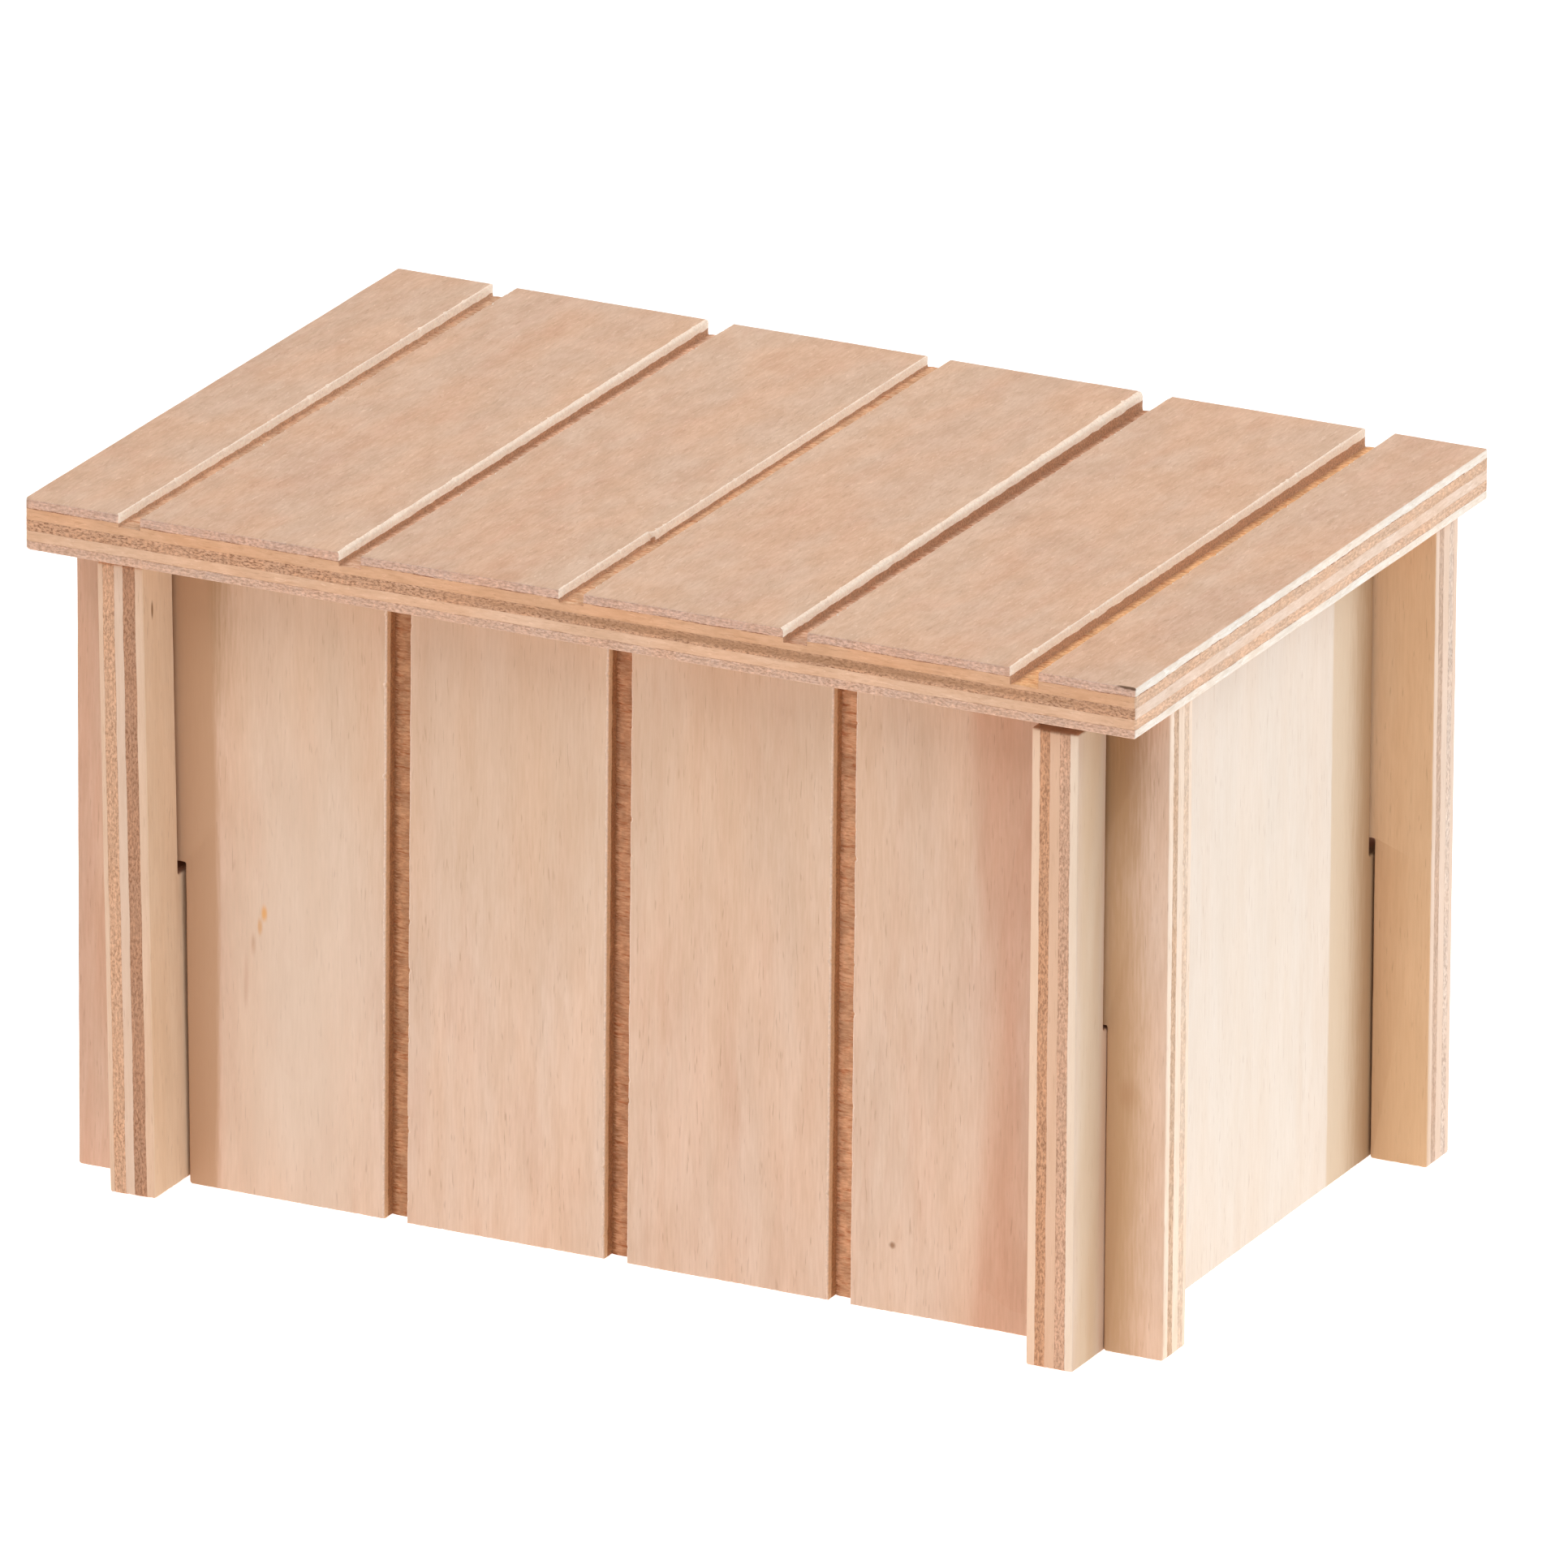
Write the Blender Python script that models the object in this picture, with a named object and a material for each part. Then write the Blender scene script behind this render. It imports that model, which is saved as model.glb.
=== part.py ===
"""Small plywood house for a mouse or dwarf hamster, flat-packed and slotted together.

Four walls cross one another at the corners in half-height slots, with no glue or screws.
The two long walls drop over the two side walls, and a loose roof plate rests on top of them.
X runs along the long walls, Y from the front to the rear and Z up, in metres. The origin is
on the floor, in the middle of the space that the whole house covers.
"""

import math

import bmesh
import bpy

# Boards of five-layer plywood
WALL_BOARD = 0.0062
ROOF_BOARD = 0.0065
EDGE_EASE = 0.0003

# Front and rear walls
LONG_WALL_LENGTH = 0.148
LONG_WALL_HEIGHT = 0.0832

# Left and right walls, a little lower so that the roof bears on the long walls only
SIDE_WALL_LENGTH = 0.098
SIDE_WALL_DROP = 0.0016

# Corner slots, open at the bottom of the long walls and at the top of the side walls.
# Sideways play lets a wall lean in its slots, and the slots meet with upright play between them.
TAB_LENGTH = 0.0078
SLOT_SIDE_PLAY = 0.0008
SLOT_MEETING_PLAY = 0.002

# The left wall leans until it is wedged in its slots, and hangs there this far above the floor.
LEFT_WALL_LIFT = 0.0006

# Routed grooves that divide the long walls and the roof into planks
PLANK_PITCH = 0.030
WALL_GROOVE_WIDTH = 0.0031
ROOF_GROOVE_WIDTH = 0.0036
GROOVE_DEPTH = 0.0021

# Arched doorway in the rear wall
DOOR_WIDTH = 0.045
DOOR_HEIGHT = 0.055
DOOR_ARC_STEPS = 24

# Roof plate, by what it covers past the walls' ends, and the two battens glued under it.
# The battens are shorter than the room between the long walls, so the roof can slide that play.
ROOF_END_OVERHANG = 0.001
ROOF_EDGE_OVERHANG = 0.0006
ROOF_SLIDE_PLAY = 0.0028
BATTEN_WIDTH = 0.012
BATTEN_BOARD = 0.0062

# Room left between pieces that touch, and how far a cutter passes the face it cuts
GAP = 0.0003
OVERRUN = 0.002

side_wall_height = LONG_WALL_HEIGHT - SIDE_WALL_DROP
slot_depth = (side_wall_height + SLOT_MEETING_PLAY) / 2

# The left wall stands askew in its slots, as far outwards as their play lets it.
lean = math.atan(SLOT_SIDE_PLAY / slot_depth)
slot_width = WALL_BOARD / math.cos(lean) + SLOT_SIDE_PLAY + 2 * GAP

# Distances from the middle of the house to the slots' edges and to the long walls' middle
slot_outer_x = LONG_WALL_LENGTH / 2 - TAB_LENGTH
slot_inner_x = slot_outer_x - slot_width
long_wall_y = SIDE_WALL_LENGTH / 2 - TAB_LENGTH - slot_width / 2
inside_y = long_wall_y - WALL_BOARD / 2

# The loose roof has slid forwards until its battens meet the front wall.
roof_length = LONG_WALL_LENGTH + 2 * ROOF_END_OVERHANG
roof_depth = SIDE_WALL_LENGTH + 2 * ROOF_EDGE_OVERHANG
batten_length = 2 * (inside_y - GAP - ROOF_SLIDE_PLAY)
roof_underside_z = LONG_WALL_HEIGHT + GAP

# The roof reaches furthest forwards and the side walls reach furthest back.
middle_y = (roof_depth / 2 + ROOF_SLIDE_PLAY - SIDE_WALL_LENGTH / 2) / 2

# Bare veneers, sanded and not varnished
FACE_VENEER = (0.735, 0.520, 0.372, 1.0)
PINK_VENEER = (0.665, 0.450, 0.322, 1.0)
PALE_VENEER = (0.840, 0.710, 0.560, 1.0)
TAN_VENEER = (0.640, 0.440, 0.285, 1.0)
SANDED_ROUGHNESS = 0.62
SMOOTH_ANGLE = math.radians(30)


def clear_scene():
    for thing in list(bpy.data.objects):
        bpy.data.objects.remove(thing, do_unlink=True)


def wood(name, color):
    """Bare sanded plywood of one colour."""
    material = bpy.data.materials.new(name)
    material.use_nodes = True
    material.diffuse_color = color
    shader = material.node_tree.nodes["Principled BSDF"]
    shader.inputs["Base Color"].default_value = color
    shader.inputs["Roughness"].default_value = SANDED_ROUGHNESS
    shader.inputs["Metallic"].default_value = 0.0
    return material


def link(thing, parent, location=(0, 0, 0), rotation=(0, 0, 0)):
    bpy.context.scene.collection.objects.link(thing)
    thing.parent = parent
    thing.location = location
    thing.rotation_euler = rotation
    return thing


def pivot(name, parent, location=(0, 0, 0)):
    """An empty that carries a group of pieces."""
    return link(bpy.data.objects.new(name, None), parent, location)


def arch(width, height):
    """The doorway's outline from the foot of its left jamb, over the round head, to the right foot."""
    radius = width / 2
    spring = height - radius
    head = []
    for step in range(DOOR_ARC_STEPS + 1):
        turn = math.pi * (1 - step / DOOR_ARC_STEPS)
        head.append((radius * math.cos(turn), spring + radius * math.sin(turn)))
    return [(-radius, 0)] + head + [(radius, 0)]


def slotted_edge(length, between=()):
    """A wall's slotted edge from its left end to its right, as distances along it and into it."""
    end = length / 2
    outer = end - TAB_LENGTH
    inner = outer - slot_width
    left = [(-end, 0), (-outer, 0), (-outer, slot_depth), (-inner, slot_depth), (-inner, 0)]
    right = [(-along, into) for along, into in reversed(left)]
    return left + list(between) + right


def long_wall_outline(doorway=()):
    """Slots at the bottom, counter-clockwise as seen from outside."""
    end = LONG_WALL_LENGTH / 2
    top = [(end, LONG_WALL_HEIGHT), (-end, LONG_WALL_HEIGHT)]
    return slotted_edge(LONG_WALL_LENGTH, doorway) + top


def side_wall_outline():
    """Slots at the top, counter-clockwise as seen from outside."""
    end = SIDE_WALL_LENGTH / 2
    top = [(along, side_wall_height - into) for along, into in reversed(slotted_edge(SIDE_WALL_LENGTH))]
    return [(-end, 0), (end, 0)] + top


def rectangle(length, depth):
    """A plain board's outline about its middle."""
    return [
        (-length / 2, -depth / 2),
        (length / 2, -depth / 2),
        (length / 2, depth / 2),
        (-length / 2, depth / 2),
    ]


def mesh_from(bm, name):
    bmesh.ops.recalc_face_normals(bm, faces=bm.faces)
    mesh = bpy.data.meshes.new(name)
    bm.to_mesh(mesh)
    bm.free()
    return mesh


def board(name, outline, thickness, color, parent, location, rotation=(0, 0, 0)):
    """A sawn board. Its outer face is towards local -Y, its outline lies in local X and Z,
    and the sharp edges round both faces are eased with sandpaper."""
    bm = bmesh.new()
    corners = [bm.verts.new((along, -thickness / 2, up)) for along, up in outline]
    outer_face = bm.faces.new(corners)
    sawn = bmesh.ops.extrude_face_region(bm, geom=[outer_face], use_keep_orig=True)
    inner_corners = [item for item in sawn["geom"] if isinstance(item, bmesh.types.BMVert)]
    bmesh.ops.translate(bm, verts=inner_corners, vec=(0, thickness, 0))
    arrises = [edge for edge in bm.edges if edge.verts[0].co.y == edge.verts[1].co.y]
    bmesh.ops.bevel(bm, geom=arrises, offset=EDGE_EASE, segments=2, profile=0.5, affect="EDGES")
    mesh = mesh_from(bm, name)
    mesh.materials.append(wood(name, color))
    mesh.shade_smooth()
    mesh.set_sharp_from_angle(angle=SMOOTH_ANGLE)
    return link(bpy.data.objects.new(name, mesh), parent, location, rotation)


def rout_grooves(plate, half_span, width, thickness, low, high):
    """Straight grooves in the plate's outer face, at each multiple of the plank pitch in the span."""
    outermost = int((half_span - width) / PLANK_PITCH)
    bm = bmesh.new()
    for step in range(-outermost, outermost + 1):
        groove = bmesh.ops.create_cube(bm, size=1)["verts"]
        size = (width, OVERRUN + GROOVE_DEPTH, high - low + 2 * OVERRUN)
        bmesh.ops.scale(bm, verts=groove, vec=size)
        face_y = -thickness / 2
        middle = (step * PLANK_PITCH, face_y + (GROOVE_DEPTH - OVERRUN) / 2, (high + low) / 2)
        bmesh.ops.translate(bm, verts=groove, vec=middle)
    cutter_name = plate.name + "_groove_cutter"
    cutter = link(bpy.data.objects.new(cutter_name, mesh_from(bm, cutter_name)), plate)
    cutter.hide_render = True
    cutter.display_type = "WIRE"
    cut = plate.modifiers.new("grooves", "BOOLEAN")
    cut.operation = "DIFFERENCE"
    cut.solver = "EXACT"
    cut.object = cutter


def build_side_walls(house):
    """The two plain walls. The long walls hold them upright, with their ends standing proud."""
    half_board = WALL_BOARD / 2
    board(
        "right_wall",
        side_wall_outline(),
        WALL_BOARD,
        PALE_VENEER,
        house,
        location=(slot_outer_x - GAP - half_board, 0, 0),
        rotation=(0, 0, math.radians(90)),
    )
    left_x = -(slot_inner_x + GAP + half_board * math.cos(lean))
    board(
        "left_wall",
        side_wall_outline(),
        WALL_BOARD,
        TAN_VENEER,
        house,
        location=(left_x, 0, LEFT_WALL_LIFT + half_board * math.sin(lean)),
        rotation=(lean, 0, math.radians(-90)),
    )


def build_long_walls(lift):
    """The two planked walls. The rear one has the doorway, and its middle groove stops at the arch."""
    front = board(
        "front_wall",
        long_wall_outline(),
        WALL_BOARD,
        FACE_VENEER,
        lift,
        location=(0, -long_wall_y, 0),
    )
    rear = board(
        "rear_wall",
        long_wall_outline(arch(DOOR_WIDTH, DOOR_HEIGHT)),
        WALL_BOARD,
        FACE_VENEER,
        lift,
        location=(0, long_wall_y, 0),
        rotation=(0, 0, math.radians(180)),
    )
    for wall in (front, rear):
        rout_grooves(wall, slot_inner_x, WALL_GROOVE_WIDTH, WALL_BOARD, 0, LONG_WALL_HEIGHT)


def build_roof(lift):
    """The planked roof plate, with a batten under it inside each side wall to keep it in place."""
    flat = (math.radians(-90), 0, 0)
    plate = board(
        "roof_plate",
        rectangle(roof_length, roof_depth),
        ROOF_BOARD,
        PINK_VENEER,
        lift,
        location=(0, 0, ROOF_BOARD / 2),
        rotation=flat,
    )
    rout_grooves(plate, roof_length / 2, ROOF_GROOVE_WIDTH, ROOF_BOARD, -roof_depth / 2, roof_depth / 2)
    for side, name in ((-1, "left_roof_batten"), (1, "right_roof_batten")):
        board(
            name,
            rectangle(BATTEN_WIDTH, batten_length),
            BATTEN_BOARD,
            TAN_VENEER,
            lift,
            location=(side * (slot_inner_x - GAP - BATTEN_WIDTH / 2), 0, -GAP - BATTEN_BOARD / 2),
            rotation=flat,
        )


clear_scene()
house = pivot("house", None, (0, middle_y, 0))
build_side_walls(house)
long_walls_lift = pivot("long_walls_lift", house)
build_long_walls(long_walls_lift)
build_roof(pivot("roof_lift", long_walls_lift, (0, -ROOF_SLIDE_PLAY, roof_underside_z)))
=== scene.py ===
import math

import bmesh
import bpy
from mathutils import Matrix, Vector, noise


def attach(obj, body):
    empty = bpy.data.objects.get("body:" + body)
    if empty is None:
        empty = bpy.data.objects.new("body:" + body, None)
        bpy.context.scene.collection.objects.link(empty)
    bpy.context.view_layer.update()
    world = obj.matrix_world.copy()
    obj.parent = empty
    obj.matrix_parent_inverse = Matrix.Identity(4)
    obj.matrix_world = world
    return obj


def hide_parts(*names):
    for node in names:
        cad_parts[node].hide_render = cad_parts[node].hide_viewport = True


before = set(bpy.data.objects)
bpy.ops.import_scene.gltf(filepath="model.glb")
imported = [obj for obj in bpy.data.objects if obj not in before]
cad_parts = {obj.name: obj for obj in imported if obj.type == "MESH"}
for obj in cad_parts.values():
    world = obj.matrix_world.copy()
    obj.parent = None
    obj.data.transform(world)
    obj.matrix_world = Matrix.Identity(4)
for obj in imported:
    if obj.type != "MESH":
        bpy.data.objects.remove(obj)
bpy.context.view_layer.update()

# Right wall
# A plain board of five-ply poplar and birch, sawn to shape and sanded by hand, with its palest veneer
# outside. Two slots in its top edge take the long walls, the front one a little shallower, and nothing
# fastens it.

OUTSIDE_FACE, GRAIN_UP = Vector((1, 0, 0)), Vector((0, 0, 1))
SAW_STEP = 0.0004
ROWS_IN_A_PLY = 4
ARRIS = 0.00024
ARRIS_WANDER = 0.35
WANDERS_PER_METRE = 90
ARRIS_ROWS = 3
CORNER_RADIUS = 0.0004
INNER_CORNER_RADIUS = 0.0002
SHARP_TURN = math.radians(30)
ARC_STEP = math.radians(18)
END_GRAIN_FUZZ = 0.00009
LONG_GRAIN_FUZZ = 0.000025
PIT_SIZE = 0.0005
FINER_PITS, FINER_PITS_DEPTH = 2.3, 0.4
STRAND_STRETCH, STRAND_COVER = 0.15, 0.5
TOUCHING, STRAIGHT = 1e-6, 1e-3
MILLIMETRES = 1000


def board_axes(node, outside, grain):
    """The board's own axes and size, read off its solid: X across the grain of its faces, -Y out of
    its outer face and Z with the grain, from the middle of the board."""
    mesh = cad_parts[node].data
    normal = max(mesh.polygons, key=lambda face: face.area).normal.copy()
    inwards = -normal if normal.dot(outside) > 0 else normal
    with_grain = (grain - grain.dot(inwards) * inwards).normalized()
    turn = Matrix((inwards.cross(with_grain), inwards, with_grain)).transposed()
    places = [turn.transposed() @ vert.co for vert in mesh.vertices]
    low, high = (Vector(map(pick, zip(*places))) for pick in (min, max))
    return Matrix.Translation(turn @ ((low + high) / 2)) @ turn.to_4x4(), high - low


def sawn_outline(node, axes):
    """The corners of the board's outline in its X and Z, counter-clockwise from outside. They are read
    off its inner face, where the eased arrises leave the outline a little smaller."""
    solid = bmesh.new()
    solid.from_mesh(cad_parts[node].data)
    solid.transform(axes.inverted())
    bmesh.ops.remove_doubles(solid, verts=solid.verts, dist=TOUCHING)
    depth = max(vert.co.y for vert in solid.verts)
    level = depth - TOUCHING
    inner = {face for face in solid.faces if all(vert.co.y > level for vert in face.verts)}
    rim = {}
    for edge in solid.edges:
        if len(inner.intersection(edge.link_faces)) == 1:
            for here, there in (edge.verts, reversed(edge.verts)):
                rim.setdefault(here, []).append(there)
    corner = start = min(rim, key=lambda vert: (vert.co.z, vert.co.x))
    came_from, loop = None, []
    while corner is not start or not loop:
        loop.append(corner)
        came_from, corner = corner, next(vert for vert in rim[corner] if vert is not came_from)
    eased = max(vert.co.x for vert in solid.verts) - max(vert.co.x for vert in loop)
    outline = [Vector((vert.co.x, vert.co.z)) for vert in loop]
    solid.free()
    if sum(a.cross(b) for a, b in zip(outline, outline[1:] + outline[:1])) < 0:
        outline.reverse()
    return grown([point for point, turn in turns(outline) if abs(turn) > STRAIGHT], eased)


def turns(outline):
    """Each corner with the angle that the outline turns there, positive at an outer corner."""
    found = []
    for before, here, after in zip(outline[-1:] + outline[:-1], outline, outline[1:] + outline[:1]):
        came, goes = here - before, after - here
        found.append((here, math.atan2(came.cross(goes), came.dot(goes))))
    return found


def outwards(direction):
    return Vector((direction.y, -direction.x)).normalized()


def grown(outline, by):
    """The outline moved outwards by one distance all the way round."""
    moved = []
    for before, here, after in zip(outline[-1:] + outline[:-1], outline, outline[1:] + outline[:1]):
        one, other = outwards(here - before), outwards(after - here)
        moved.append(here + (one + other) * by / (1 + one.dot(other)))
    return moved


def sanded_path(outline, worn):
    """Close points round the outline, each with the way out from it. The corners are rounded, and worn
    gives the radius of those that are rounded more, as (X side, Z side): radius."""
    reach = [max(abs(point[axis]) for point in outline) for axis in (0, 1)]
    stops = []
    for (here, turn), before, after in zip(
        turns(outline), outline[-1:] + outline[:-1], outline[1:] + outline[:1]
    ):
        came, goes = (here - before).normalized(), (after - here).normalized()
        if abs(turn) < SHARP_TURN:
            stops.append((here, outwards(came + goes)))
            continue
        radius = CORNER_RADIUS if turn > 0 else INNER_CORNER_RADIUS
        if abs(here.x) > reach[0] - CORNER_RADIUS and abs(here.y) > reach[1] - CORNER_RADIUS:
            radius = worn.get((math.copysign(1, here.x), math.copysign(1, here.y)), radius)
        side = math.copysign(radius, turn)
        start = here - came * radius * math.tan(abs(turn) / 2)
        centre = start - outwards(came) * side
        steps = max(2, math.ceil(abs(turn) / ARC_STEP))
        for step in range(steps + 1):
            out = outwards(came)
            out.rotate(Matrix.Rotation(turn * step / steps, 2))
            stops.append((centre + out * side, out))
    path = []
    for (here, out), (there, next_out) in zip(stops, stops[1:] + stops[:1]):
        steps = max(1, round((there - here).length / SAW_STEP))
        for step in range(steps):
            share = step / steps
            path.append((here.lerp(there, share), out.lerp(next_out, share).normalized()))
    return path


def sawn_board(name, node, outside, grain, plies, worn=None, tight=()):
    """The board as sawn and sanded: its cut edges are a little rough, most where a ply shows its end
    grain, and its arrises are eased by an uneven hand. plies are the plies' shares of the thickness.
    tight has the corners of a slot that is a tight fit, as (X, Z, move in X, move in Z)."""
    axes, size = board_axes(node, outside, grain)
    outline = sawn_outline(node, axes)
    for x, z, aside, up in tight:
        corner = min(outline, key=lambda point: (point - Vector((x, z))).length)
        corner += Vector((aside, up))
    path = sanded_path(outline, worn or {})
    glue_lines = [sum(plies[:count]) for count in range(len(plies) + 1)]
    rows = []
    for ply, (top, bottom) in enumerate(zip(glue_lines, glue_lines[1:])):
        for row in range(ROWS_IN_A_PLY):
            depth = (top + (bottom - top) * row / ROWS_IN_A_PLY) * size.y
            if 2 * ARRIS < depth < size.y - 2 * ARRIS:
                rows.append((depth, ply))
    verts = []
    for place, out in path:
        wander = noise.noise(Vector((place.x, 0, place.y)) * WANDERS_PER_METRE)
        ease = ARRIS * (1 + ARRIS_WANDER * wander)
        column = []
        for step in range(ARRIS_ROWS + 1):
            turn = math.pi / 2 * step / ARRIS_ROWS
            column.append((ease * (1 - math.cos(turn)), ease * (1 - math.sin(turn)), 0))
        foot = [(size.y - depth, inset, len(plies) - 1) for depth, inset, ply in reversed(column)]
        column += [(depth, 0, ply) for depth, ply in rows] + foot
        for depth, inset, ply in column:
            cut_across = out.x**2 if ply % 2 else out.y**2
            at = Vector((place.x, depth, place.y)) / PIT_SIZE
            pits = max(0, noise.noise(at) + FINER_PITS_DEPTH * noise.noise(at * FINER_PITS))
            strands = noise.noise(Vector((at.x * STRAND_STRETCH, at.y, at.z * STRAND_STRETCH)))
            strands = max(0, strands + STRAND_COVER)
            rough = END_GRAIN_FUZZ * pits * cut_across + LONG_GRAIN_FUZZ * strands
            edge = place - out * (inset + rough)
            verts.append((edge.x, depth - size.y / 2, edge.y))
    count = len(column)
    faces = [[column_start * count for column_start in range(len(path))]]
    faces.append([column_start * count + count - 1 for column_start in reversed(range(len(path)))])
    for one in range(len(path)):
        other = (one + 1) % len(path)
        for row in range(count - 1):
            a, b = one * count + row, other * count + row
            faces.append((a, a + 1, b + 1, b))
    mesh = bpy.data.meshes.new(name)
    mesh.from_pydata(verts, [], faces)
    mesh.shade_smooth()
    for face in mesh.polygons[:2]:
        face.use_smooth = False
    board = bpy.data.objects.new(name, mesh)
    board.matrix_world = axes
    bpy.context.scene.collection.objects.link(board)
    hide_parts(node)
    return board, size


def put(tree, kind, inputs=(), **settings):
    """A shader node with its settings and inputs, which are values or other nodes' outputs."""
    made = tree.nodes.new("ShaderNode" + kind)
    for name, value in settings.items():
        setattr(made, name, value)
    for socket, value in dict(inputs).items():
        if isinstance(value, bpy.types.NodeSocket):
            tree.links.new(value, made.inputs[socket])
        else:
            made.inputs[socket].default_value = value
    return made


def sum_of(tree, operation, *terms, clamp=False):
    return put(tree, "Math", enumerate(terms), operation=operation, use_clamp=clamp).outputs[0]


def between(tree, value, low, high, to_low=0.0, to_high=1.0):
    """Value from low to high, brought to the range from to_low to to_high in a smooth step."""
    limits = {"Value": value, "From Min": low, "From Max": high, "To Min": to_low, "To Max": to_high}
    return put(tree, "MapRange", limits, interpolation_type="SMOOTHSTEP").outputs[0]


def toned(tree, share, under, over, how="MIX"):
    """Two colours, or a colour and a brightness, put together."""
    return put(tree, "Mix", {0: share, 6: under, 7: over}, data_type="RGBA", blend_type=how).outputs[2]


def ramp(tree, factor, stops, interpolation="CONSTANT"):
    """The value or colour for a factor, from two or more stops with their positions in rising order."""
    made = put(tree, "ValToRGB", {"Fac": factor})
    made.color_ramp.interpolation = interpolation
    elements = made.color_ramp.elements
    for number, (position, value) in enumerate(stops):
        element = elements[number] if number < 2 else elements.new(position)
        element.position = position
        element.color = (*value, 1) if isinstance(value, tuple) else (value, value, value, 1)
    return made.outputs["Color"]


def by_ply(tree, depth, plies, values):
    """The value or colour of the ply that lies at that share of the board's depth."""
    return ramp(tree, depth, [(sum(plies[:ply]), value) for ply, value in enumerate(values)])


def drawn_noise(tree, place, stretch, scale, detail=2.0, roughness=0.5, distortion=0.0):
    """Noise from 0 to 1 that is drawn out along the axes where the stretch is small."""
    spot = put(tree, "VectorMath", {0: place, 1: stretch}, operation="MULTIPLY").outputs[0]
    sockets = {"Vector": spot, "Scale": scale, "Detail": detail, "Roughness": roughness}
    sockets["Distortion"] = distortion
    return put(tree, "TexNoise", sockets).outputs["Fac"]


def shifted(tree, place, by):
    return put(tree, "VectorMath", {0: place, 1: by}, operation="ADD").outputs[0]


def far_from(tree, place, spot, half_size):
    """How far the place is from the spot: 1 at the surface of an ellipsoid of that half size."""
    off = put(tree, "VectorMath", {0: place, 1: spot}, operation="SUBTRACT").outputs[0]
    off = put(tree, "VectorMath", {0: off, 1: half_size}, operation="DIVIDE").outputs[0]
    return put(tree, "VectorMath", {0: off}, operation="LENGTH").outputs["Value"]


def times(tree, tone, factor):
    """A colour made lighter or darker, or tinted, by a brightness or another colour."""
    return toned(tree, 1.0, tone, factor, "MULTIPLY")


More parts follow.
